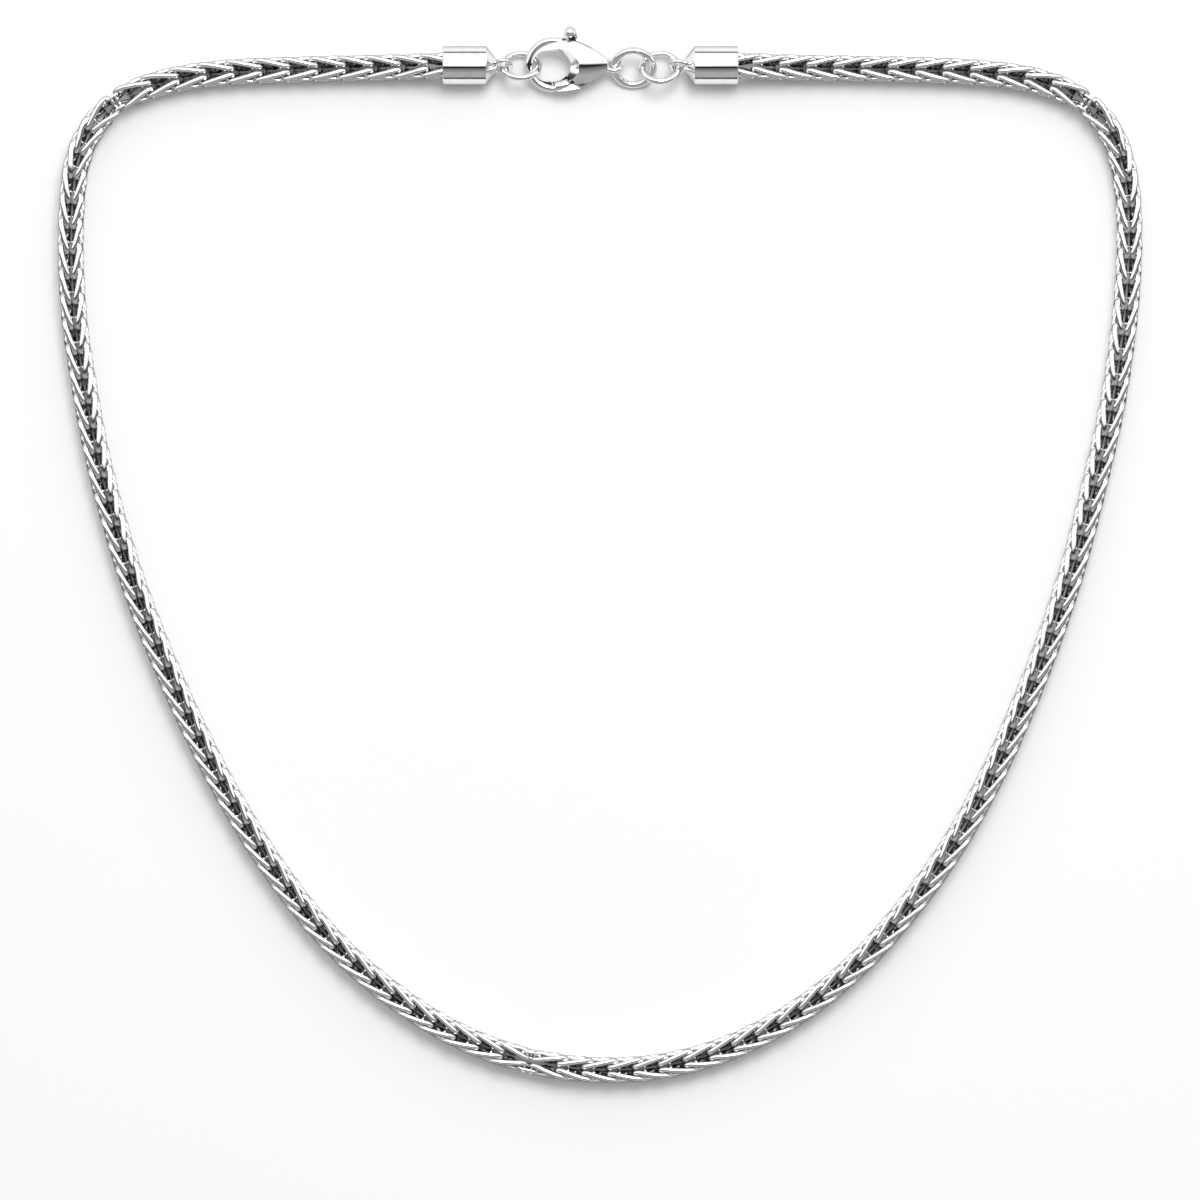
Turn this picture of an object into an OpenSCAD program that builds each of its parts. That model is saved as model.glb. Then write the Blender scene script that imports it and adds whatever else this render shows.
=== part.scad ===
// Wheat chain necklace, laid flat in a closed loop, with end caps, jump rings and a lobster clasp.
// Millimetres. +Z is up, the loop lies in XY, and the clasp side is +Y.

/* [Chain] */
// Width and height of the squarish wheat chain
chain_w = 3.7; // [3.4:0.1:4.0]
// Width of the loop along its centreline
loop_w = 153.2; // [150:0.2:156]
// From the clasp's line down to the loop's lowest point, along the centreline
loop_l = 145.3; // [142:0.1:148]

/* [End caps] */
// Metal around the chain inside a cap
cap_wall = 0.6; // [0.45:0.05:0.8]
// Gap between the chain's corners and the cap's bore
cap_fit = 0.22; // [0.15:0.01:0.3]
// Length of the cap's straight barrel
cap_l = 6.3; // [5.5:0.1:7.5]
// Metal left behind the bore
cap_back = 0.8; // [0.6:0.1:1.2]
// Length of the conical shoulder
shoulder_l = 1.4; // [1:0.1:2]
// Width of the shoulder's small end
shoulder_d = 2.1; // [1.8:0.1:2.6]
// Rounding of the cap's mouth
lip_r = 0.2; // [0.1:0.05:0.3]

/* [Eyes] */
// Clear hole of every soldered eye
eye_hole = 1.46; // [1.4:0.02:1.6]
// Wire of every soldered eye
eye_wire = 0.72; // [0.6:0.02:0.9]
// Lean of the left cap's eye, in degrees
left_eye_lean = 49; // [45:1:55]
// Lean of the right cap's eye, in degrees
right_eye_lean = 58; // [52:1:64]
// Play between an eye and the ring that it holds
eye_play = 0.25; // [0.2:0.01:0.3]

/* [Jump rings] */
// Clear hole of the ring in the clasp's hook
hook_ring_hole = 4.22; // [4.1:0.02:4.4]
// Wire of the ring in the clasp's hook
hook_ring_wire = 0.94; // [0.8:0.02:0.98]
// Lean of the ring in the hook, in degrees
hook_ring_lean = -44; // [-50:1:-42]
// Clear hole of the ring at the clasp's tail
tail_ring_hole = 4.56; // [4.4:0.02:4.8]
// Wire of the ring at the clasp's tail
tail_ring_wire = 1.08; // [0.9:0.02:1.1]
// Lean of the ring at the tail, in degrees
tail_ring_lean = 33; // [30:1:38]
// Clear hole of the ring between the tail ring and the right cap
link_ring_hole = 4.28; // [4.2:0.02:4.5]
// Wire of the ring between the tail ring and the right cap
link_ring_wire = 0.96; // [0.8:0.02:1]
// Lean of the ring between the tail ring and the right cap, in degrees
link_ring_lean = -36; // [-42:1:-34]
// Play between the hook and its ring
hook_play = 0.31; // [0.25:0.01:0.4]
// Play between the tail eye and its ring
tail_play = 0.18; // [0.12:0.01:0.22]
// Play between the two rings at the tail
ring_play = 0.57; // [0.5:0.01:0.65]

/* [Clasp] */
// Outer width of the round hook
hook_d = 8.04; // [7.9:0.02:8.3]
// Wire of the hook's rim
rim_wire = 1.14; // [1:0.02:1.16]
// Height of the opening in the hook
hole_w = 4.6; // [4.4:0.1:4.7]
// Length of the opening in the hook
hole_l = 5.64; // [5.4:0.02:5.7]
// From the hook's centre to the tail eye's centre
clasp_l = 8.81; // [8.6:0.01:9.2]
// Thickness of the puffed body
body_h = 4.2; // [3.8:0.1:4.4]
// Thickness of the body where it meets the tail eye
tail_h = 1.6; // [1.4:0.1:2]
// Radius of the body's long flanks
flank_r = 13.6; // [13:0.1:14.5]
// Radius of the body's crown, seen from its end
crown_r = 5; // [4.8:0.1:5.6]
// Width of the bevel around the opening
bevel_w = 1.05; // [0.8:0.05:1.2]
// Lean of the tail eye, in degrees
tail_eye_lean = -42; // [-46:1:-38]
// Lean of the whole clasp, in degrees
clasp_lean = 8; // [6:1:10]

/* [Lever] */
// Thickness of the lever's plate
lever_t = 1.1; // [0.9:0.05:1.15]
// Gap between the lever and the slot on each side
lever_fit = 0.12; // [0.1:0.01:0.16]
// Diameter of the lever's pin
pin_d = 0.9; // [0.8:0.02:1]
// Gap around the pin in the lever
pin_fit = 0.05; // [0.03:0.01:0.08]
// Gap around the pin in the body
pin_seat = 0.02; // [0.01:0.01:0.04]
// How deep the pin sits in each cheek
pin_seat_l = 0.7; // [0.5:0.05:0.8]
// Diameter of the thumb knob
knob_d = 1.6; // [1.4:0.05:1.7]
// Length of the thumb knob
knob_l = 2.6; // [2.2:0.1:3]
// Width of the neck that carries the knob
neck_w = 0.9; // [0.7:0.05:1]
// Gap between the lever's tip and the hook's tip
tip_gap = 0.15; // [0.12:0.01:0.2]
// How far the lever swings, in degrees
lever_swing = 28; // [22:1:30]

/* [Hidden] */
$fn = 96;

// The loop's centreline from the left cap round to the right cap: x, y and a share of the cap's height
route = [
    [-29, 70.7, 0.4], [-36, 70.6, 0], [-44, 70.4, 0], [-52, 70.1, 0], [-59, 69.4, 0], [-65, 68, 0],
    [-70, 65.6, 0], [-73.5, 61.9, 0], [-75.6, 57.2, 0], [-76.4, 51.5, 0], [-76.6, 43.5, 0],
    [-76.1, 34.5, 0], [-74.9, 26, 0], [-73, 15.5, 0], [-70.5, 5.5, 0], [-67.2, -5, 0],
    [-63.2, -15.2, 0], [-58.7, -25.2, 0], [-53.4, -35.4, 0], [-47.2, -45.3, 0], [-40, -54.5, 0],
    [-31.5, -62.4, 0], [-22, -68.7, 0], [-11.5, -72.8, 0], [-1, -74.4, 0], [9.5, -73.8, 0],
    [19.5, -70.9, 0], [29, -65.8, 0], [37.5, -58.9, 0], [45, -50.5, 0], [51.5, -41.3, 0],
    [57, -31.3, 0], [61.6, -21, 0], [65.6, -10.6, 0], [69.1, 0.5, 0], [72, 12, 0], [74.2, 22, 0],
    [75.7, 32, 0], [76.5, 41, 0], [76.6, 49, 0], [76, 55, 0], [74.5, 60.1, 0], [71.7, 64.2, 0],
    [67.5, 67.2, 0], [62, 69, 0], [55.5, 69.9, 0], [48, 70.3, 0], [40, 70.5, 0], [33, 70.6, 0],
    [26.5, 70.7, 0.4],
];
// The width and the depth of the loop that the route draws
route_w = 153.2;
route_l = 145.3;
// Sides of the chain's envelope, and the length of one of its stretches
chain_sides = 8;
chain_step = 9;
// Clearance between the chain's end and the back of the bore
chain_end_gap = 0.3;

// The line that the caps and the clasp lie on, and the clasp's place on it
top_y = 70.9;
clasp_x = -6.8;
clasp_rise = 0.2;
tail_drop = 0.1;
ring_drop = 0.25;

chain_corner_d = chain_w / cos(180 / chain_sides);
bore_d = chain_corner_d + 2 * cap_fit;
cap_d = bore_d + 2 * cap_wall;
cap_z = cap_d / 2;
bore_l = cap_l - cap_back;

eye_r = (eye_hole + eye_wire) / 2;
hook_ring_r = (hook_ring_hole + hook_ring_wire) / 2;
tail_ring_r = (tail_ring_hole + tail_ring_wire) / 2;
link_ring_r = (link_ring_hole + link_ring_wire) / 2;
rim_r = (hook_d - rim_wire) / 2;

// Heights of the rings and the clasp, measured from the caps' axis
hook_ring_z = cap_z - 0.22;
clasp_z = cap_z - 0.5;
tail_eye_z = cap_z - 0.6;
tail_ring_z = cap_z - 0.74;
link_ring_z = cap_z;

// Places along X, each ring held by its neighbour
hook_ring_x = clasp_x - (rim_r - rim_wire / 2) + hook_play + hook_ring_wire / 2 - hook_ring_r;
left_eye_x = hook_ring_x - hook_ring_r + hook_ring_wire / 2 + eye_play - eye_hole / 2;
tail_eye_x = clasp_x + clasp_l;
tail_ring_x = tail_eye_x + eye_hole / 2 - tail_play - tail_ring_wire / 2 + tail_ring_r;
link_ring_x = tail_ring_x + tail_ring_r - tail_ring_wire / 2 - ring_play - link_ring_wire / 2 + link_ring_r;
right_eye_x = link_ring_x + link_ring_r - link_ring_wire / 2 - eye_play + eye_hole / 2;
// An eye's wire sinks this far into what carries it
eye_sink = 0.1;
left_barrel_x = left_eye_x - eye_r + eye_sink - shoulder_l;
right_barrel_x = right_eye_x + eye_r - eye_sink + shoulder_l;

// The clasp in its own frame: the hook's centre is the origin and the tail is at +X
hole_y = -0.2;
hole_right = 2.6;
flank_start = 6;
flank_x = -(flank_r - hook_d / 2) * sin(flank_start);
flank_y = -(flank_r - hook_d / 2) * cos(flank_start);
body_end = clasp_l - eye_r + 0.15;
crown_x = 3.4;
hook_sweep_r = 14;
tail_fall = (body_h - tail_h) / 2;
tail_sweep_r = (pow(body_end - crown_x, 2) + pow(tail_fall, 2)) / (2 * tail_fall);
bevel_floor = 0.9;

// The lever in the clasp's frame
pivot = [4.3, -1.2];
pivot_eye_r = 0.95;
knob_at = [2.44, 4.7];
gate_root = [2.55, -2.15];
gate_root_r = 0.6;
gate_end = -40;
gate_inner_r = 2.5;
gate_web_t = 0.9;
tip_angle = -84.5;
tip_at = [rim_r * cos(tip_angle), rim_r * sin(tip_angle)];
tip_r = norm(tip_at - pivot);
slot_h = lever_t + 2 * lever_fit;
neck_angle = atan2(knob_at[1] - pivot[1], knob_at[0] - pivot[0]);
neck_flare = 0.2;
root_angle = 180 + atan((gate_root[1] - pivot[1]) / (gate_root[0] - pivot[0]));
// The pocket that the gate's inner end swings through, beyond the lever's own room
pocket_r = 3.2;
pocket_below = 29.5;
pocket_above = 45.5;
// As far as the clasp's own pieces reach, for the shapes that cut it
clasp_reach = clasp_l + hook_d / 2;
// How far the gate's cut goes past the gate's two ends, in degrees
gate_over = 14;
gate_seam = 2.5;

// One point of a smooth curve through p1 and p2, at share t between them
function curve_point(p0, p1, p2, p3, t) =
    ((2 * p1) + (p2 - p0) * t + (2 * p0 - 5 * p1 + 4 * p2 - p3) * t * t
        + (3 * p1 - p0 - 3 * p2 + p3) * t * t * t) / 2;

function unit(v) = v / norm(v);

chain_z = chain_w / 2;
chain_in_left = [left_barrel_x - cap_back - chain_end_gap, top_y, cap_z];
chain_in_right = [right_barrel_x + cap_back + chain_end_gap, top_y, cap_z];
chain_mouth_left = [left_barrel_x - cap_l, top_y, cap_z];
chain_mouth_right = [right_barrel_x + cap_l, top_y, cap_z];
chain_knots = concat(
    [chain_in_left, chain_mouth_left],
    [for (p = route) [
        p[0] * loop_w / route_w,
        top_y - (top_y - p[1]) * loop_l / route_l,
        chain_z + p[2] * (cap_z - chain_z)
    ]],
    [chain_mouth_right, chain_in_right]
);
knot_last = len(chain_knots) - 1;
chain_line = [
    for (i = [0 : knot_last - 1])
        let (
            p0 = chain_knots[max(i - 1, 0)],
            p1 = chain_knots[i],
            p2 = chain_knots[i + 1],
            p3 = chain_knots[min(i + 2, knot_last)],
            parts = max(1, round(norm(p2 - p1) / chain_step))
        )
        for (k = [0 : parts - 1])
            curve_point(p0, p1, p2, p3, k / parts),
    chain_knots[knot_last],
];
line_last = len(chain_line) - 1;

module chain_tube() {
    corners = [
        for (i = [0 : line_last])
            let (
                ahead = unit(chain_line[min(i + 1, line_last)] - chain_line[max(i - 1, 0)]),
                side = unit(cross(ahead, [0, 0, 1])),
                up = cross(side, ahead)
            )
            for (k = [0 : chain_sides - 1])
                let (a = (k + 0.5) * 360 / chain_sides)
                chain_line[i] + chain_corner_d / 2 * (cos(a) * side + sin(a) * up)
    ];
    walls = [
        for (i = [0 : line_last - 1])
            for (k = [0 : chain_sides - 1])
                let (n = (k + 1) % chain_sides)
                [i * chain_sides + k, (i + 1) * chain_sides + k,
                 (i + 1) * chain_sides + n, i * chain_sides + n]
    ];
    start = [[for (k = [0 : chain_sides - 1]) k]];
    finish = [[for (k = [chain_sides - 1 : -1 : 0]) line_last * chain_sides + k]];
    polyhedron(corners, concat(start, walls, finish), convexity = 10);
}

// A round wire ring about the origin, flat in XY, then leaned about X
module wire_ring(r, wire, lean) {
    rotate([lean, 0, 0])
        rotate_extrude()
            translate([r, 0])
                circle(d = wire, $fn = 48);
}

// A cap along +X from its mouth at the origin, with its eye at the far end
module end_cap(eye_lean) {
    difference() {
        rotate([0, 90, 0]) {
            rotate_extrude()
                difference() {
                    square([cap_d / 2, cap_l]);
                    translate([cap_d / 2 - lip_r, 0])
                        difference() {
                            square(lip_r);
                            translate([0, lip_r])
                                circle(r = lip_r, $fn = 48);
                        }
                }
            translate([0, 0, cap_l])
                cylinder(d1 = cap_d, d2 = shoulder_d, h = shoulder_l);
        }
        translate([-cap_back, 0, 0])
            rotate([0, 90, 0])
                cylinder(d = bore_d, h = bore_l + cap_back);
    }
    translate([cap_l + shoulder_l + eye_r - eye_sink, 0, 0])
        wire_ring(eye_r, eye_wire, eye_lean);
}

module left_end_cap() {
    color("gainsboro")
        translate([left_barrel_x - cap_l, top_y, cap_z])
            end_cap(left_eye_lean);
}

module right_end_cap() {
    color("gainsboro")
        translate([right_barrel_x + cap_l, top_y, cap_z])
            mirror([1, 0, 0])
                end_cap(right_eye_lean);
}

module hook_ring() {
    color("silver")
        translate([hook_ring_x, top_y, hook_ring_z])
            wire_ring(hook_ring_r, hook_ring_wire, hook_ring_lean);
}

module tail_ring() {
    color("silver")
        translate([tail_ring_x, top_y - ring_drop, tail_ring_z])
            wire_ring(tail_ring_r, tail_ring_wire, tail_ring_lean);
}

module link_ring() {
    color("silver")
        translate([link_ring_x, top_y - ring_drop, link_ring_z])
            wire_ring(link_ring_r, link_ring_wire, link_ring_lean);
}

module clasp_place() {
    translate([clasp_x, top_y + clasp_rise, clasp_z])
        rotate([clasp_lean, 0, 0])
            children();
}

// A flat bar with round ends between two points
module bar(a, b, ra, rb) {
    way = atan2(b[1] - a[1], b[0] - a[0]);
    turn = acos((ra - rb) / norm(b - a));
    translate(a)
        circle(r = ra);
    translate(b)
        circle(r = rb);
    polygon([
        a + ra * [cos(way + turn), sin(way + turn)],
        a + ra * [cos(way - turn), sin(way - turn)],
        b + rb * [cos(way - turn), sin(way - turn)],
        b + rb * [cos(way + turn), sin(way + turn)],
    ]);
}

// A pie slice about a point, from one angle to another
module slice(at, from, to, r) {
    steps = 12;
    translate(at)
        polygon(concat(
            [[0, 0]],
            [for (i = [0 : steps]) let (a = from + (to - from) * i / steps) r * [cos(a), sin(a)]]
        ));
}

// The opening in the hook, drawn flat
module hole_outline() {
    left = hole_right - hole_l;
    for (x = [left + hole_w / 2, hole_right - hole_w / 2])
        translate([x, hole_y])
            circle(d = hole_w);
    translate([left + hole_w / 2, hole_y - hole_w / 2])
        square([hole_l - hole_w, hole_w]);
}

// The clasp's teardrop from above: the round hook and two long flanks
module teardrop_outline() {
    circle(d = hook_d);
    intersection() {
        translate([flank_x, flank_y])
            circle(r = flank_r);
        translate([flank_x, -flank_y])
            circle(r = flank_r);
        translate([0, -clasp_reach])
            square([body_end, 2 * clasp_reach]);
    }
}

// A solid whose upper surface is a crown, curved along X by sweep_r and along Y by crown_r
module crown(sweep_r) {
    translate([crown_x, 0, body_h / 2 - sweep_r])
        rotate([90, 0, 0])
            rotate_extrude() {
                translate([0, -crown_r])
                    square([sweep_r - crown_r, 2 * crown_r]);
                intersection() {
                    translate([sweep_r - crown_r, 0])
                        circle(r = crown_r);
                    translate([sweep_r - crown_r, -crown_r])
                        square([crown_r, 2 * crown_r]);
                }
            }
}

// The part of the puffed body between two places along X
module puff(sweep_r, x_from, x_to) {
    intersection() {
        crown(sweep_r);
        mirror([0, 0, 1])
            crown(sweep_r);
        translate([x_from, -clasp_reach / 2, -clasp_reach / 2])
            cube([x_to - x_from, clasp_reach, clasp_reach]);
    }
}

// Where the lever's gate closes the hook: between the hook's tip and the body's seam
module gate_zone() {
    difference() {
        slice([0, 0], tip_angle - gate_over, gate_end + gate_seam, clasp_reach / 2);
        translate(hole_centre())
            circle(d = hole_w / 2);
        difference() {
            circle(r = clasp_reach);
            translate(pivot)
                circle(r = tip_r + tip_gap);
        }
    }
}

function hole_centre() = [hole_right - hole_w / 2, hole_y];

// The lever's two arms from above, each side grown by a gap
module lever_plan(grow) {
    bar(pivot, gate_root, pivot_eye_r + grow, gate_root_r + grow);
    bar(pivot, knob_at, neck_w / 2 + neck_flare + grow, neck_w / 2 + grow);
}

// The room that the lever sweeps inside the body
module lever_room() {
    for (turn = [0, -lever_swing])
        translate(pivot)
            rotate(turn)
                translate(-pivot)
                    lever_plan(lever_fit);
    slice(pivot, neck_angle - lever_swing, neck_angle, clasp_reach);
    slice(pivot, root_angle - lever_swing - pocket_above, root_angle + pocket_below, pocket_r);
}

module clasp_body() {
    color("whitesmoke")
        clasp_place() {
            difference() {
                union() {
                    wire_ring(rim_r, rim_wire, 0);
                    intersection() {
                        translate([0, 0, -body_h / 2])
                            linear_extrude(body_h)
                                teardrop_outline();
                        union() {
                            puff(hook_sweep_r, -hook_d / 2, crown_x);
                            puff(tail_sweep_r, crown_x, body_end);
                        }
                    }
                }
                translate([0, 0, -body_h])
                    linear_extrude(2 * body_h)
                        hole_outline();
                for (side = [0, 1])
                    mirror([0, 0, side])
                        translate([hole_centre()[0], hole_centre()[1], bevel_floor])
                            cylinder(r1 = hole_w / 2, r2 = hole_w / 2 + bevel_w * 1.5, h = bevel_w * 1.5);
                translate([0, 0, -body_h])
                    linear_extrude(2 * body_h)
                        gate_zone();
                translate([0, 0, -slot_h / 2])
                    linear_extrude(slot_h)
                        lever_room();
                translate([pivot[0], pivot[1], -slot_h / 2 - pin_seat_l])
                    cylinder(d = pin_d + 2 * pin_seat, h = slot_h + 2 * pin_seat_l);
            }
            translate([clasp_l, -tail_drop, tail_eye_z - clasp_z])
                wire_ring(eye_r, eye_wire, tail_eye_lean - clasp_lean);
        }
}

// The gate: the stretch of the rim that the lever carries
module gate() {
    intersection() {
        rotate([0, 0, tip_angle - 12])
            rotate_extrude(angle = gate_end - tip_angle + 12) {
                translate([rim_r, 0])
                    circle(d = rim_wire, $fn = 48);
                translate([gate_inner_r, -gate_web_t / 2])
                    square([rim_r - gate_inner_r, gate_web_t]);
            }
        translate([pivot[0], pivot[1], -rim_wire])
            cylinder(r = tip_r, h = 2 * rim_wire);
    }
}

module clasp_lever() {
    color("white")
        clasp_place()
            difference() {
                union() {
                    gate();
                    translate([0, 0, -lever_t / 2])
                        linear_extrude(lever_t)
                            lever_plan(0);
                    translate([knob_at[0], knob_at[1], 0])
                        for (side = [0, 1])
                            mirror([0, 0, side]) {
                                cylinder(d = knob_d, h = (knob_l - knob_d) / 2);
                                translate([0, 0, (knob_l - knob_d) / 2])
                                    sphere(d = knob_d);
                            }
                }
                translate([pivot[0], pivot[1], -body_h])
                    cylinder(d = pin_d + 2 * pin_fit, h = 2 * body_h);
            }
}

module lever_pin() {
    pin_l = slot_h + 2 * pin_seat_l - 2 * pin_seat;
    color("dimgray")
        clasp_place()
            translate([pivot[0], pivot[1], -pin_l / 2])
                cylinder(d = pin_d, h = pin_l);
}

module wheat_chain() {
    color("lightgray")
        chain_tube();
}

wheat_chain();
left_end_cap();
right_end_cap();
hook_ring();
tail_ring();
link_ring();
clasp_body();
clasp_lever();
lever_pin();
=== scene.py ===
"""Wheat chain necklace: links, caps, rings and clasp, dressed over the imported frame."""

import math

import bpy
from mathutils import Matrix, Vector


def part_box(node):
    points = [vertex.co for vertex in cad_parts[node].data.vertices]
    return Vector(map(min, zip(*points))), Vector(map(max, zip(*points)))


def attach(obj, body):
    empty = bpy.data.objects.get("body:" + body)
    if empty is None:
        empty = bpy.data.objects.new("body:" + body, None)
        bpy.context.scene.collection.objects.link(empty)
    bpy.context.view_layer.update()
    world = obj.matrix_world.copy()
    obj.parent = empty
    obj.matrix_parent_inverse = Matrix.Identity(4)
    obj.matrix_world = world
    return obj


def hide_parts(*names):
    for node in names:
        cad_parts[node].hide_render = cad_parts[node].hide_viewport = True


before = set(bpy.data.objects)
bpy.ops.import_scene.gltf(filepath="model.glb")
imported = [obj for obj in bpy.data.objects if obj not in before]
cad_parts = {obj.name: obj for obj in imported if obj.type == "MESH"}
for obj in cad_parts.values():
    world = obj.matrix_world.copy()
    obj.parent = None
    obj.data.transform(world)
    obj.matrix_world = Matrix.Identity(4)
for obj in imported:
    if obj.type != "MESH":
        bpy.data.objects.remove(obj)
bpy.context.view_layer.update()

MM = 0.001


# Camera: straight above the loop, long lens, the photograph's square frame.
VIEW_WIDTH = 174 * MM
VIEW_HEIGHT = 1.2
VIEW_MIDDLE = (0, -6.39 * MM)
SENSOR = 36
view = bpy.data.cameras.new("view_from_above")
view.sensor_width = SENSOR
view.lens = SENSOR * VIEW_HEIGHT / VIEW_WIDTH
view.clip_start = 0.01
view.clip_end = 20
camera = bpy.data.objects.new("view_from_above", view)
camera.location = (*VIEW_MIDDLE, VIEW_HEIGHT)
bpy.context.collection.objects.link(camera)
bpy.context.scene.camera = camera


# Small helpers for modelling with operators.
MERGE_WITHIN = 0.00001 * MM


def let_go():
    """Nothing selected, and object mode."""
    if bpy.context.object and bpy.context.object.mode != "OBJECT":
        bpy.ops.object.mode_set(mode="OBJECT")
    bpy.ops.object.select_all(action="DESELECT")


def take(obj):
    """Only this object selected and active."""
    let_go()
    obj.select_set(True)
    bpy.context.view_layer.objects.active = obj
    return obj


def fixed(obj):
    """Its place, turn and scale go into its mesh."""
    take(obj)
    bpy.ops.object.transform_apply(location=True, rotation=True, scale=True)
    return obj


def applied(obj, kind, **settings):
    """Adds a modifier, sets it and applies it."""
    take(obj)
    step = obj.modifiers.new(kind.lower(), kind)
    for name, value in settings.items():
        setattr(step, name, value)
    bpy.ops.object.modifier_apply(modifier=step.name)
    return obj


def smooth(obj):
    take(obj)
    bpy.ops.object.shade_smooth()
    return obj


def smooth_between_edges(obj, degrees):
    """Smooth, with the edges that are sharper than this kept crisp."""
    take(obj)
    bpy.ops.object.shade_smooth_by_angle(angle=math.radians(degrees))
    return obj


def tidy_normals(obj):
    """Points that meet are merged, and faces turned outward."""
    take(obj)
    bpy.ops.object.mode_set(mode="EDIT")
    bpy.ops.mesh.select_all(action="SELECT")
    bpy.ops.mesh.remove_doubles(threshold=MERGE_WITHIN)
    bpy.ops.mesh.normals_make_consistent(inside=False)
    bpy.ops.object.mode_set(mode="OBJECT")
    return obj


def copied(obj, name):
    take(obj)
    bpy.ops.object.duplicate()
    twin = bpy.context.object
    twin.name = name
    twin.data.name = name
    return twin


def curve_through(name, points, closed=False, **settings):
    """A curve through points along, across and up in millimetres, each with its own radius."""
    shape = bpy.data.curves.new(name, "CURVE")
    for key, value in settings.items():
        setattr(shape, key, value)
    run = shape.splines.new("POLY")
    run.points.add(len(points) - 1)
    for spot, (x, y, z, radius) in zip(run.points, points):
        spot.co = (x * MM, y * MM, z * MM, 1)
        spot.radius = radius
    run.use_cyclic_u = closed
    curve = bpy.data.objects.new(name, shape)
    bpy.context.collection.objects.link(curve)
    return curve


def made_mesh(curve):
    take(curve)
    bpy.ops.object.convert(target="MESH")
    return tidy_normals(bpy.context.object)


# Shader maths as expressions.
class Wire:
    """A shader socket that takes part in sums."""

    def __init__(self, maker, socket):
        self.maker = maker
        self.socket = socket

    def _sum(self, how, a, b):
        return self.maker.node("ShaderNodeMath", {"operation": how}, {0: a, 1: b})

    def __add__(self, other):
        return self._sum("ADD", self, other)

    def __radd__(self, other):
        return self._sum("ADD", other, self)

    def __sub__(self, other):
        return self._sum("SUBTRACT", self, other)

    def __rsub__(self, other):
        return self._sum("SUBTRACT", other, self)

    def __mul__(self, other):
        return self._sum("MULTIPLY", self, other)

    def __rmul__(self, other):
        return self._sum("MULTIPLY", other, self)

    def __truediv__(self, other):
        return self._sum("DIVIDE", self, other)

    def __rtruediv__(self, other):
        return self._sum("DIVIDE", other, self)


class Nodes:
    """A tree of nodes being wired."""

    def __init__(self, tree):
        self.tree = tree

    def node(self, kind, settings=None, sockets=None, out=0):
        """A node of this kind, its settings made first, and a wire from one of its outputs."""
        made = self.tree.nodes.new(kind)
        for key, value in (settings or {}).items():
            if key == "stops":
                ramp = made.color_ramp
                for at, (place, colour) in enumerate(value):
                    stop = ramp.elements[at] if at < 2 else ramp.elements.new(place)
                    stop.position = place
                    stop.color = colour
            else:
                setattr(made, key, value)
        for key, value in (sockets or {}).items():
            self.connect(value, made.inputs[key])
        return Wire(self, made.outputs[out])

    def connect(self, value, socket):
        """Links a wire to a socket, or sets the socket to a plain value."""
        if isinstance(value, Wire):
            self.tree.links.new(value.socket, socket)
        else:
            socket.default_value = value


class Finish(Nodes):
    """A metal finish being mixed."""

    def __init__(self, name):
        self.material = bpy.data.materials.new(name)
        self.material.use_nodes = True
        super().__init__(self.material.node_tree)
        self.shader = self.tree.nodes["Principled BSDF"]

    def noise(self, scale, detail):
        """Cloudy values fixed to the piece."""
        place = self.node("ShaderNodeTexCoord", out="Object")
        sockets = {"Vector": place, "Scale": scale, "Detail": detail}
        return self.node("ShaderNodeTexNoise", sockets=sockets)

    def band(self, value, low, high):
        """Nothing below the band, all above it, and smooth in between."""
        settings = {"interpolation_type": "SMOOTHSTEP"}
        sockets = {"Value": value, "From Min": low, "From Max": high}
        return self.node("ShaderNodeMapRange", settings, sockets)

    def blend(self, share, a, b):
        """A mix of two colours."""
        sockets = {"Factor": share, 6: a, 7: b}
        return self.node("ShaderNodeMix", {"data_type": "RGBA"}, sockets, out=2)

    def bump(self, height, strength, distance):
        sockets = {"Height": height, "Strength": strength, "Distance": distance}
        return self.node("ShaderNodeBump", sockets=sockets)

    def feed(self, **values):
        for key, value in values.items():
            self.connect(value, self.shader.inputs[key.replace("_", " ")])


# Silver: its colour at a glancing view and where it is open, and the painted shade, dark and pale,
# laid where the links lie deep in shadow.
EDGE_TINT = (0.35, 0.35, 0.35, 1)
OPEN_SILVER = (0.97, 0.97, 0.965, 1)
DARK_PAINTED_SHADE = (0.04, 0.037, 0.034, 1)
PALE_PAINTED_SHADE = (0.55, 0.52, 0.48, 1)
# Between these values of openness the painted shade gives way to bright metal.
FULLY_SHADED, BRIGHT = 1.0, 1.3
DULLED_BY_WEAR = 0.93


def silver_of_links():
    """Bright rolled wire, with painted shade, dark and mottled, in the recesses between the links.
    """
    f = Finish("silver_links")
    openness = f.node("ShaderNodeAttribute", {"attribute_name": "openness"}, out="Fac")
    # Low openness, deep inside the chain, gets the painted shade; high openness keeps bright metal.
    open_face = f.band(openness, FULLY_SHADED, BRIGHT)
    mottle = f.noise(scale=3200.0, detail=2.0)
    drawn = f.noise(scale=9000.0, detail=3.0)
    # Painted shade: a dark colour, mottled towards pale, laid where the wire lies in the chain's
    # shadow.
    painted_shade_colour = f.blend(f.band(mottle, 0.4, 0.62), DARK_PAINTED_SHADE, PALE_PAINTED_SHADE)
    f.feed(
        Base_Color=f.blend(open_face, painted_shade_colour, OPEN_SILVER),
        Metallic=1.0,
        Roughness=0.30 - 0.20 * open_face + 0.04 * mottle,
        Specular_Tint=EDGE_TINT,
        Normal=f.bump(drawn, strength=0.1, distance=0.02 * MM),
    )
    return f.material


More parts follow.
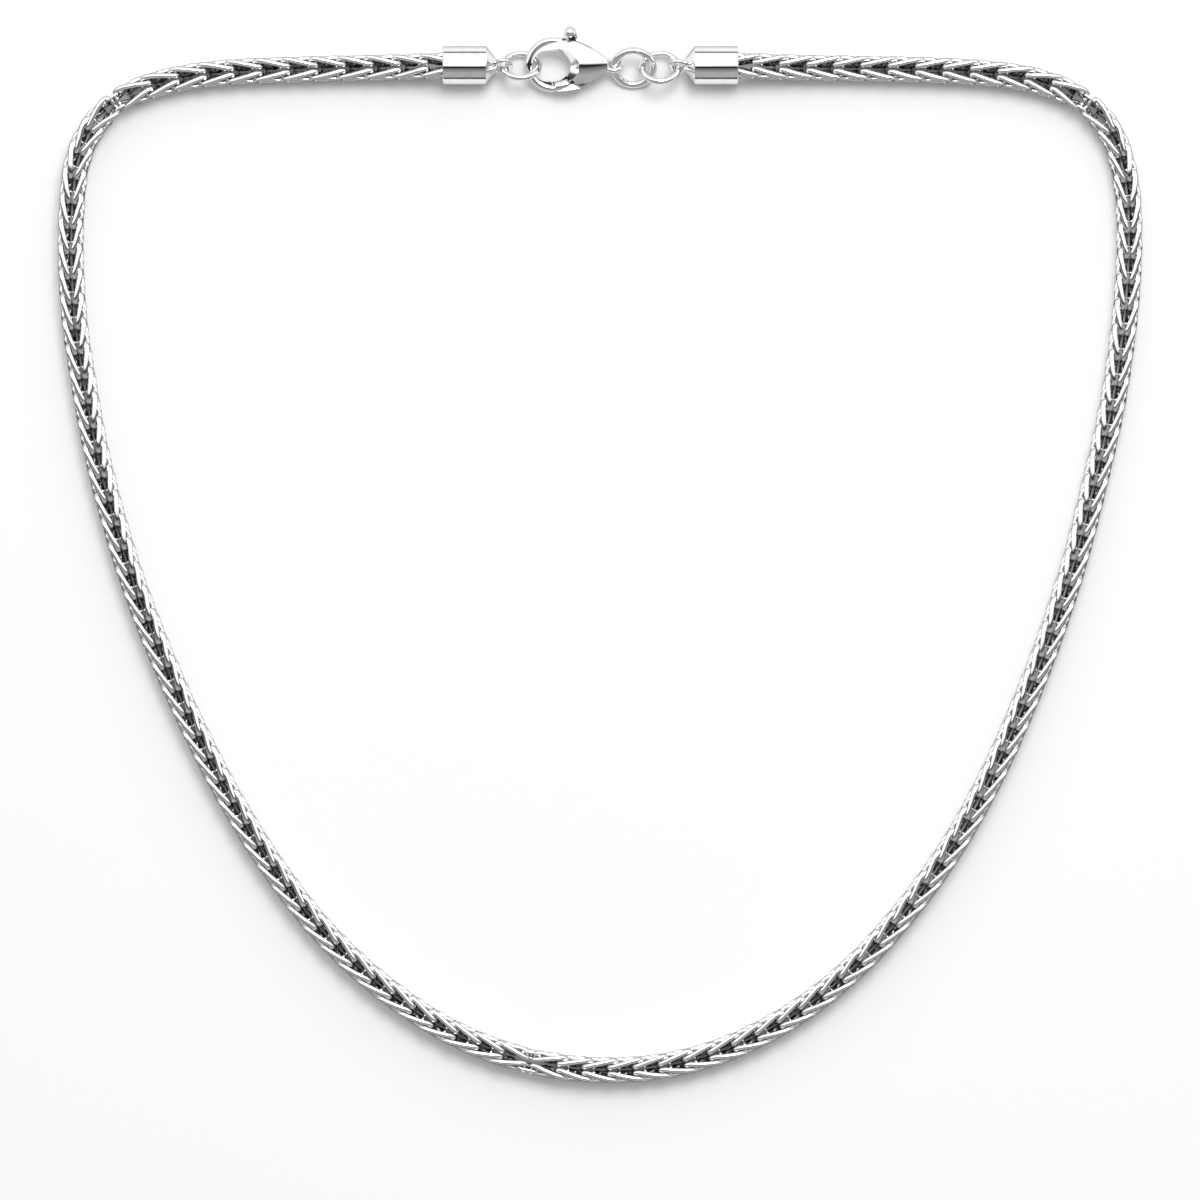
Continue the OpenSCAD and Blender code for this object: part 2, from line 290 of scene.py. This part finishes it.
def polished_silver(name, shade, rough):
    """Mirror polish with the faint wheel marks and soft ripples of a buffed surface."""
    f = Finish(name)
    ripples = f.noise(scale=260.0, detail=1.0)
    marks = f.noise(scale=7000.0, detail=4.0)
    wear = f.noise(scale=700.0, detail=3.0)
    dull = [DULLED_BY_WEAR * part for part in shade]
    f.feed(
        Base_Color=f.blend(f.band(wear, 0.4, 0.7), (*shade, 1), (*dull, 1)),
        Metallic=1.0,
        Roughness=rough + 0.05 * f.band(wear, 0.45, 0.75),
        Specular_Tint=EDGE_TINT,
        Normal=f.bump(ripples + 0.02 * marks, strength=0.25, distance=0.1 * MM),
    )
    return f.material


LINK_SILVER = silver_of_links()
CAP_SILVER = polished_silver("silver_caps", shade=(0.93, 0.93, 0.925), rough=0.07)
RING_SILVER = polished_silver("silver_rings", shade=(0.92, 0.92, 0.915), rough=0.10)
CLASP_SILVER = polished_silver("silver_clasp", shade=(0.95, 0.95, 0.945), rough=0.09)
PIN_SILVER = polished_silver("silver_pin", shade=(0.78, 0.78, 0.78), rough=0.2)


def finish_with(obj, material):
    obj.data.materials.clear()
    obj.data.materials.append(material)


# The loop's centreline, in millimetres, as in the solid chain. The last value says how far each
# point is raised from the chain's own height on the table towards the caps' axis.
ROUTE = [
    (-29, 70.7, 0.4), (-36, 70.6, 0), (-44, 70.4, 0), (-52, 70.1, 0), (-59, 69.4, 0), (-65, 68, 0),
    (-70, 65.6, 0), (-73.5, 61.9, 0), (-75.6, 57.2, 0), (-76.4, 51.5, 0), (-76.6, 43.5, 0),
    (-76.1, 34.5, 0), (-74.9, 26, 0), (-73, 15.5, 0), (-70.5, 5.5, 0), (-67.2, -5, 0),
    (-63.2, -15.2, 0), (-58.7, -25.2, 0), (-53.4, -35.4, 0), (-47.2, -45.3, 0), (-40, -54.5, 0),
    (-31.5, -62.4, 0), (-22, -68.7, 0), (-11.5, -72.8, 0), (-1, -74.4, 0), (9.5, -73.8, 0),
    (19.5, -70.9, 0), (29, -65.8, 0), (37.5, -58.9, 0), (45, -50.5, 0), (51.5, -41.3, 0),
    (57, -31.3, 0), (61.6, -21, 0), (65.6, -10.6, 0), (69.1, 0.5, 0), (72, 12, 0), (74.2, 22, 0),
    (75.7, 32, 0), (76.5, 41, 0), (76.6, 49, 0), (76, 55, 0), (74.5, 60.1, 0), (71.7, 64.2, 0),
    (67.5, 67.2, 0), (62, 69, 0), (55.5, 69.9, 0), (48, 70.3, 0), (40, 70.5, 0), (33, 70.6, 0),
    (26.5, 70.7, 0.4),
]
POINTS_PER_SPAN = 8
CHAIN_HALF = 1.85
# The links sit closer together inside a cap's bore, and the path runs on this far into it.
CAP_SQUEEZE = 0.92
BORE_DEPTH = 5
# The caps' mouths along the loop's top, and their axis, across the loop and up.
cap_low, cap_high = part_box("left_end_cap")
LEFT_MOUTH = cap_low[0] / MM
RIGHT_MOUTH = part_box("right_end_cap")[1][0] / MM
CAP_AXIS = (70.9, (cap_low[2] + cap_high[2]) / 2 / MM)


def between(before, here, after, later, t):
    """A point part of the way from here to after, on a smooth curve through all four."""
    slope = after - before
    bend = 2 * before - 5 * here + 4 * after - later
    twist = 3 * here - before - 3 * after + later
    return (2 * here + slope * t + bend * t * t + twist * t**3) / 2


def centreline():
    """Points a little over a millimetre apart, smooth through the route, from bore to bore."""
    rise = CAP_AXIS[1] - CHAIN_HALF
    knots = [(LEFT_MOUTH + BORE_DEPTH, *CAP_AXIS), (LEFT_MOUTH, *CAP_AXIS)]
    knots += [(x, y, CHAIN_HALF + lift * rise) for x, y, lift in ROUTE]
    knots += [(RIGHT_MOUTH, *CAP_AXIS), (RIGHT_MOUTH - BORE_DEPTH, *CAP_AXIS)]
    knots = [Vector(knot) for knot in knots]
    around = [knots[0], *knots, knots[-1]]
    points = []
    for four in zip(around, around[1:], around[2:], around[3:]):
        points += [between(*four, part / POINTS_PER_SPAN) for part in range(POINTS_PER_SPAN)]
    return [*points, knots[-1]]


# The centreline's points, and how far along it each one lies.
LINE = centreline()
STATION = [0.0]
for here, there in zip(LINE, LINE[1:]):
    STATION.append(STATION[-1] + (there - here).length)
CHAIN_LENGTH = STATION[-1]


def station_near(x, y):
    """How far along the centreline the nearest point lies."""
    gaps = [(point.xy - Vector((x, y))).length for point in LINE]
    return STATION[gaps.index(min(gaps))]


def lay_path():
    """The centreline as a curve to lay the links along, narrower where it runs in a bore."""
    points = []
    for point in LINE:
        in_a_bore = LEFT_MOUTH < point.x < RIGHT_MOUTH and point.y > 0
        points.append((*point, CAP_SQUEEZE if in_a_bore else 1))
    return curve_through(
        "lay_of_chain",
        points,
        dimensions="3D",
        twist_mode="Z_UP",
        use_path=True,
        use_radius=True,
    )


# One wheat link: a closed loop of wire over a corner of the chain. From its bend over the corner it
# runs along the open face to its nose, turns in under the next link, comes out on the side face,
# runs back and dives inside, so that it threads the link before it and the link after it. The wire
# is rolled wider where it lies open. Along, across, up and half the wire's width, in millimetres.
LINK_LOOP = [
    (0.05, 1.42, 1.20, 0.29),
    (0.45, 1.40, 1.42, 0.34),
    (1.2, 1.28, 1.45, 0.37),
    (2.7, 0.92, 1.45, 0.37),
    (4.15, 0.53, 1.45, 0.37),
    (4.75, 0.44, 1.42, 0.30),
    (5.0, 0.52, 1.20, 0.27),
    (4.95, 0.76, 1.02, 0.26),
    (4.7, 1.06, 0.93, 0.25),
    (4.66, 1.28, 0.84, 0.25),
    (4.82, 1.44, 0.70, 0.26),
    (4.72, 1.52, 0.52, 0.29),
    (4.3, 1.5, 0.45, 0.33),
    (2.9, 1.5, 0.66, 0.34),
    (2.1, 1.36, 0.72, 0.29),
    (1.45, 1.0, 0.46, 0.26),
    (0.8, 0.66, 0.36, 0.26),
    (0.0, 0.46, 0.42, 0.26),
    (-0.42, 0.29, 0.84, 0.25),
    (-0.42, 0.72, 0.80, 0.25),
    (-0.2, 1.08, 0.96, 0.25),
]
# How far a link reaches back from its first bend and on to its nose, and half the usual step
# from one link to the next.
LINK_TAIL = 0.68
LINK_LENGTH = 5.27
HALF_STEP = 1.85

# Small rings at the places where the pattern turns round: one through each pair of meeting noses,
# laid over the corner, and one through each pair of meeting tails.
NOSE_RING = [
    (-1.0, 1.32, 1.32, 0.22),
    (1.0, 1.32, 1.32, 0.22),
    (1.28, 1.2, 1.2, 0.22),
    (1.36, 0.95, 0.95, 0.22),
    (1.28, 0.7, 0.7, 0.22),
    (1.0, 0.58, 0.58, 0.22),
    (-1.0, 0.58, 0.58, 0.22),
    (-1.28, 0.7, 0.7, 0.22),
    (-1.36, 0.95, 0.95, 0.22),
    (-1.28, 1.2, 1.2, 0.22),
]
TAIL_RING = [
    (-0.6, 0.94, 1.36, 0.18),
    (0.6, 0.94, 1.36, 0.18),
    (0.86, 0.94, 1.22, 0.18),
    (0.95, 0.94, 0.86, 0.18),
    (0.86, 0.94, 0.48, 0.18),
    (0.6, 0.94, 0.35, 0.18),
    (-0.6, 0.94, 0.35, 0.18),
    (-0.86, 0.94, 0.48, 0.18),
    (-0.95, 0.94, 0.86, 0.18),
    (-0.86, 0.94, 1.22, 0.18),
]

# Where the wheat points turn round, in plan.
LEFT_SHOULDER = (-69.7, 65.5)
LOW_LEFT = (-10.2, -73)
RIGHT_SHOULDER = (69.9, 64.9)
# The room left at a turning place, at a run's nose, and inside the bore behind a run's last nose.
TAIL_GAP = LINK_TAIL + 0.04
NOSE_GAP = 0.05
BORE_GAP = 2.6
# Steps from link to link, before they are evened out over a run.
TOP_STEP = 3.9
LEFT_STEP = 3.6
RIGHT_STEP = 3.74
# How much facing straight outward adds to a point's openness, in millimetres of reach; less
# openness means more painted shade.
OUTWARD_SHARE = 0.3


def one_link(name, loop):
    """Four-sided wire through the link's points, flat side up, and its mirror image across."""
    link = curve_through(
        name,
        loop,
        closed=True,
        dimensions="3D",
        twist_mode="Z_UP",
        bevel_depth=math.sqrt(2) * MM,
        bevel_resolution=0,
    )
    for spot in link.data.splines[0].points:
        spot.tilt = math.radians(45)
    return applied(made_mesh(link), "MIRROR", use_axis=(False, True, False), use_mirror_merge=False)


def marked_for_painted_shade(cell):
    """Keeps how far out each point lies and whether it faces outward, as the mask for the painted
    shade.
    """
    tidy_normals(cell)
    # This value masks the painted shade: points deep inside or facing inward are painted dark.
    openness = cell.data.attributes.new("openness", "FLOAT", "POINT")
    for corner, value in zip(cell.data.vertices, openness.data):
        outward = Vector((0, corner.co.y, corner.co.z)).normalized()
        reach = max(abs(corner.co.y), abs(corner.co.z)) / MM
        value.value = reach + OUTWARD_SHARE * corner.normal.dot(outward)
    return smooth(cell)


def over_the_top(name, loop):
    """The two links over the upper corners of the chain."""
    return marked_for_painted_shade(one_link(name, loop))


def under_the_bottom(name, loop):
    """The two links over the lower corners."""
    lower = one_link(name, loop)
    lower.scale = (1, 1, -1)
    return marked_for_painted_shade(fixed(lower))


def bent_along(piece, lay, station):
    """Moves a piece along to its station and bends it to the chain's path."""
    piece.location = (station * MM, 0, 0)
    fixed(piece)
    return applied(piece, "CURVE", object=lay, deform_axis="POS_X")


def run_of_links(cell, lay, name, tail, count, step):
    """Links along the path from a tail, noses onward, or back where the step is negative."""
    run = copied(cell, name)
    if step < 0:
        run.rotation_euler = (0, 0, math.pi)
        fixed(run)
    applied(
        run,
        "ARRAY",
        count=count,
        use_relative_offset=False,
        use_constant_offset=True,
        constant_offset_displace=(step * MM, 0, 0),
    )
    return bent_along(run, lay, tail)


def join_into_chain(pieces):
    """One piece of the chain that replaces the solid's tube."""
    chain_piece = take(pieces[0])
    for piece in pieces[1:]:
        piece.select_set(True)
    bpy.ops.object.join()
    finish_with(chain_piece, LINK_SILVER)
    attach(chain_piece, "necklace")
    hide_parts("wheat_chain")


def both_halves(pair, lay, name, tail, nose, usual_step):
    """A run from its first tail to its last nose. The lower links lie half a step on from the upper
    ones, behind the gaps between them."""
    upper, lower = pair
    reach = abs(nose - tail) - LINK_LENGTH - NOSE_GAP
    count = round(reach / usual_step) + 1
    step = math.copysign(reach / (count - 1), nose - tail)
    above = run_of_links(upper, lay, name, tail, count, step)
    below = run_of_links(lower, lay, name + "_below", tail + step / 2, count - 1, step)
    join_into_chain([above, below])


def turning(lay, name, loop, station):
    """The rings where the pattern turns round. The lower ones are longer by the half steps."""
    longer = [(along + math.copysign(HALF_STEP, along), *rest) for along, *rest in loop]
    rings = [over_the_top(name, loop), under_the_bottom(name + "_below", longer)]
    join_into_chain([bent_along(ring, lay, station) for ring in rings])


def chain():
    """Four runs of links. The wheat points change way at both shoulders and low on the left."""
    lay = lay_path()
    pair = over_the_top("upper_links", LINK_LOOP), under_the_bottom("lower_links", LINK_LOOP)
    left = station_near(*LEFT_SHOULDER)
    low = station_near(*LOW_LEFT)
    right = station_near(*RIGHT_SHOULDER)
    end = CHAIN_LENGTH - BORE_GAP
    both_halves(pair, lay, "links_top_left", left - TAIL_GAP, BORE_GAP, TOP_STEP)
    both_halves(pair, lay, "links_left_side", left + TAIL_GAP, low, LEFT_STEP)
    both_halves(pair, lay, "links_right_side", right - TAIL_GAP, low, RIGHT_STEP)
    both_halves(pair, lay, "links_top_right", right + TAIL_GAP, end, TOP_STEP)
    turning(lay, "turning_left_shoulder", TAIL_RING, left)
    turning(lay, "turning_low_left", NOSE_RING, low)
    turning(lay, "turning_right_shoulder", TAIL_RING, right)
    for spent in (*pair, lay):
        bpy.data.objects.remove(spent)


chain()


# The clasp's forms, over the lever's solid: the height of the pin's middle, how far
# above it the middle of each form lies, and the sizes of their edges, in millimetres.
PIVOT_Z = 2.155
THUMB_RISE = 0.75
GATE_RISE = 0.06
GATE_EDGE = 0.05
FLANK_RISE = 0.05
FLANK_EDGE = 0.1
FLANK_HALF = 0.5
# Edges sharper than these, in degrees, are bevelled or kept crisp.
GATE_BEVELLED = 60
GATE_CRISP = 50
FLANK_CRISP = 35


def rounded_bar(name, height, line):
    """A level round bar through points in plan, each with its own half thickness."""
    points = [(x, y, height, thick) for x, y, thick in line]
    bar = curve_through(
        name,
        points,
        dimensions="3D",
        bevel_depth=MM,
        bevel_resolution=5,
        use_fill_caps=True,
    )
    return made_mesh(bar)


def thumb_piece():
    """The lever's thumb piece: a blunt drop that narrows towards the slot."""
    line = [
        (-4.78, 76.12, 0.2),
        (-4.62, 76.02, 0.58),
        (-4.3, 75.8, 0.84),
        (-3.98, 75.52, 0.8),
        (-3.66, 75.24, 0.58),
        (-3.4, 75.02, 0.36),
        (-3.28, 74.92, 0.12),
    ]
    drop = rounded_bar("thumb_piece", PIVOT_Z + THUMB_RISE, line)
    return smooth(applied(drop, "SUBSURF", levels=1, render_levels=1))


def gate_round():
    """The rounded face of the gate, in line with the hook's round wire."""
    line = [
        (-6.50, 67.83, 0.74),
        (-6.0, 67.93, 0.77),
        (-5.4, 68.06, 0.78),
        (-4.8, 68.26, 0.74),
        (-4.4, 68.46, 0.62),
    ]
    bar = rounded_bar("gate_round", PIVOT_Z + GATE_RISE, line)
    applied(
        bar,
        "BEVEL",
        width=GATE_EDGE * MM,
        segments=2,
        limit_method="ANGLE",
        angle_limit=math.radians(GATE_BEVELLED),
    )
    return smooth_between_edges(bar, GATE_CRISP)


def gate_flank():
    """The lower flank of the gate, which carries its line on to the clasp's belly."""
    outline = [
        (-6.12, 67.22),
        (-5.4, 67.16),
        (-4.4, 67.2),
        (-3.6, 67.32),
        (-3.08, 67.5),
        (-2.98, 67.62),
        (-3.4, 67.87),
        (-4.02, 68.16),
        (-4.6, 67.85),
        (-5.4, 67.45),
    ]
    plate = curve_through(
        "gate_flank",
        [(x, y, 0, 1) for x, y in outline],
        closed=True,
        dimensions="2D",
        fill_mode="BOTH",
        extrude=FLANK_HALF * MM,
        bevel_depth=FLANK_EDGE * MM,
        bevel_resolution=2,
    )
    flank = made_mesh(plate)
    flank.location = (0, 0, (PIVOT_Z + FLANK_RISE) * MM)
    return smooth_between_edges(fixed(flank), FLANK_CRISP)


for piece in (thumb_piece(), gate_round(), gate_flank()):
    finish_with(piece, CLASP_SILVER)
    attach(piece, "lever")

# Caps, rings and clasp are the frame's own solids.
SOLID_FINISHES = {
    "left_end_cap": CAP_SILVER,
    "right_end_cap": CAP_SILVER,
    "hook_ring": RING_SILVER,
    "tail_ring": RING_SILVER,
    "link_ring": RING_SILVER,
    "clasp_body": CLASP_SILVER,
    "clasp_lever": CLASP_SILVER,
    "lever_pin": PIN_SILVER,
}
for node, silver in SOLID_FINISHES.items():
    finish_with(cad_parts[node], silver)


# Floor and light.
FLOOR_SIZE = 4
# Brightness by the direction's lean: a grey screen opposite the clasp's side, a thin dark gap, and
# a long white screen from overhead down to the clasp's side.
SCREENS = [(0.0, 0.38), (0.32, 0.14), (0.34, 0.01), (0.42, 0.01), (0.455, 1.0)]
# Brightness by height: pale at the table's level, a dark rim above it, then the open sky.
RIM = [(0.0, 0.4), (0.05, 0.4), (0.08, 0.02), (0.15, 0.02), (0.24, 1.0)]
SKY_STRENGTH = 1.1
WHITE = (1, 1, 1, 1)
PALE_MATT = (0.9, 0.9, 0.9, 1)


def floor():
    let_go()
    bpy.ops.mesh.primitive_plane_add(size=FLOOR_SIZE, location=(0, 0, 0))
    ground = bpy.context.object
    ground.name = "pale_floor"
    f = Finish("pale_floor")
    f.feed(Base_Color=PALE_MATT, Roughness=0.6)
    finish_with(ground, f.material)


def soft_box(name, place, size, power):
    """A square lamp that looks at the middle of the loop."""
    box = bpy.data.lights.new(name, "AREA")
    box.shape = "SQUARE"
    box.size = size
    box.energy = power
    lamp = bpy.data.objects.new(name, box)
    lamp.location = place
    lamp.rotation_euler = (-Vector(place)).to_track_quat("-Z", "Y").to_euler()
    bpy.context.collection.objects.link(lamp)


def grey_ramp(nodes, levels, value):
    stops = [(at, (level, level, level, 1)) for at, level in levels]
    return nodes.node("ShaderNodeValToRGB", {"stops": stops}, {0: value})


def sky():
    """The studio that polished metal picks up."""
    world = bpy.data.worlds.new("studio")
    bpy.context.scene.world = world
    world.use_nodes = True
    n = Nodes(world.node_tree)
    way = n.node("ShaderNodeTexCoord", out="Generated")
    along_y = n.node("ShaderNodeSeparateXYZ", sockets={0: way}, out="Y")
    upward = n.node("ShaderNodeSeparateXYZ", sockets={0: way}, out="Z")
    lean = 0.5 + 0.5 * (along_y / upward)
    strength = SKY_STRENGTH * grey_ramp(n, SCREENS, lean) * grey_ramp(n, RIM, upward)
    light = world.node_tree.nodes["Background"]
    n.connect(WHITE, light.inputs["Color"])
    n.connect(strength, light.inputs["Strength"])


floor()
sky()
soft_box("key_box", place=(0.12, 0.40, 0.85), size=0.40, power=4.3)
bpy.context.scene.view_settings.view_transform = "Standard"
